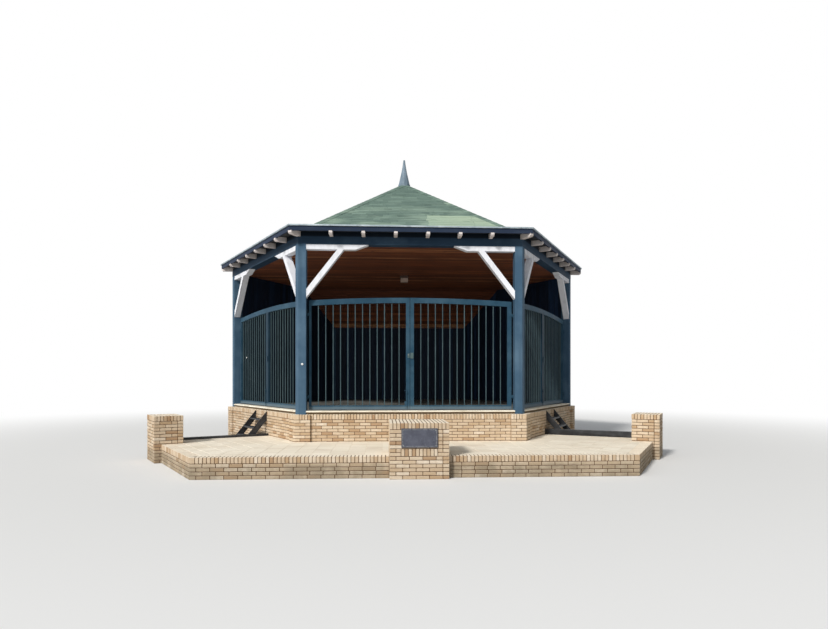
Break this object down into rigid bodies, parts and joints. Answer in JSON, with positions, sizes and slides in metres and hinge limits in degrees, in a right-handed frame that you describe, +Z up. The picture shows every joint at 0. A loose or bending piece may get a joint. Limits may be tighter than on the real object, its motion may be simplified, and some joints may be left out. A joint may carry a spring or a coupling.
{
  "type": "bandstand",
  "caption": "Six-sided park bandstand on a brick platform with a terrace in front, barred gates on the open sides, boarded back and a low pyramid roof with a spike.",
  "frame": {"origin": "on the ground under the centre of the six-sided platform", "axes": "+Z up, front with the plaque towards -Y, +X to the right as seen from the front"},
  "size_m": [10.7996, 10.874, 7.622],
  "materials": {
    "concrete": "matte",
    "yellow_brick": "matte",
    "sill_concrete": "matte",
    "paving": "matte",
    "black_steel": "satin",
    "petrol_timber": "painted satin",
    "dark_boards": "painted matte",
    "petrol_steel": "satin",
    "white_timber": "painted satin",
    "deck_boards": "painted matte",
    "stained_boards": "stained satin",
    "lamp_plastic": "matte",
    "zinc": "weathered satin",
    "green_felt": "matte granules",
    "slate": "honed"
  },
  "bodies": {
    "structure": {"beam_front": "petrol_timber", "beam_front_left": "petrol_timber", "beam_front_right": "petrol_timber", "beams_back": "petrol_timber", "boarded_side_back": "dark_boards", "boarded_side_back_left": "dark_boards", "boarded_side_back_right": "dark_boards", "braces_front": "white_timber", "braces_front_left": "white_timber", "braces_front_right": "white_timber", "ceiling": "stained_boards", "ceiling_lamp": "lamp_plastic", "eave_deck": "deck_boards", "eave_trim": "zinc", "fascias": "petrol_timber", "finial": "zinc", "ground_slab": "concrete", "hinge_pins_front": "petrol_steel", "hinge_pins_front_left": "petrol_steel", "hinge_pins_front_right": "petrol_steel", "hip_tails": "white_timber", "plaque": "slate", "plaque_pier": "yellow_brick", "platform_corner_piers": "yellow_brick", "platform_floor": "concrete", "platform_wall_front": "yellow_brick", "platform_wall_front_left": "yellow_brick", "platform_wall_front_right": "yellow_brick", "platform_walls_back": "yellow_brick", "post_back_left": "petrol_timber", "post_back_right": "petrol_timber", "post_front_left": "petrol_timber", "post_front_right": "petrol_timber", "post_left": "petrol_timber", "post_right": "petrol_timber", "rafter_tails": "white_timber", "rear_hood": "stained_boards", "roof": "green_felt", "sills": "sill_concrete", "steps_left": "black_steel", "steps_right": "black_steel", "terrace_edge_bar_left": "black_steel", "terrace_edge_bar_right": "black_steel", "terrace_end_wall_left": "yellow_brick", "terrace_end_wall_right": "yellow_brick", "terrace_paving": "paving", "terrace_pier_left": "yellow_brick", "terrace_pier_right": "yellow_brick", "terrace_wall_front_left": "yellow_brick", "terrace_wall_front_right": "yellow_brick", "terrace_wall_left": "yellow_brick", "terrace_wall_right": "yellow_brick"},
    "gate_front_a": {"gate_front_a": "petrol_steel"},
    "gate_front_b": {"gate_front_b": "petrol_steel"},
    "gate_front_right_a": {"gate_front_right_a": "petrol_steel"},
    "gate_front_right_b": {"gate_front_right_b": "petrol_steel"},
    "gate_front_left_a": {"gate_front_left_a": "petrol_steel"},
    "gate_front_left_b": {"gate_front_left_b": "petrol_steel"}
  },
  "joints": [
    {"name": "gate_front_a_hinge", "type": "hinge", "parent": "structure", "child": "gate_front_a", "pos_m": [-2.1324, -3.842, 1.25], "axis": [0, 0, -1], "range_deg": [0, 90]},
    {"name": "gate_front_b_hinge", "type": "hinge", "parent": "structure", "child": "gate_front_b", "pos_m": [2.1324, -3.842, 1.25], "axis": [0, 0, 1], "range_deg": [0, 90]},
    {"name": "gate_front_right_a_hinge", "type": "hinge", "parent": "structure", "child": "gate_front_right_a", "pos_m": [2.26107, -3.76771, 1.25], "axis": [0, 0, -1], "range_deg": [0, 90]},
    {"name": "gate_front_right_b_hinge", "type": "hinge", "parent": "structure", "child": "gate_front_right_b", "pos_m": [4.39347, -0.07429, 1.25], "axis": [0, 0, 1], "range_deg": [0, 90]},
    {"name": "gate_front_left_a_hinge", "type": "hinge", "parent": "structure", "child": "gate_front_left_a", "pos_m": [-4.39347, -0.07429, 1.25], "axis": [0, 0, -1], "range_deg": [0, 90]},
    {"name": "gate_front_left_b_hinge", "type": "hinge", "parent": "structure", "child": "gate_front_left_b", "pos_m": [-2.26107, -3.76771, 1.25], "axis": [0, 0, 1], "range_deg": [0, 90]}
  ]
}
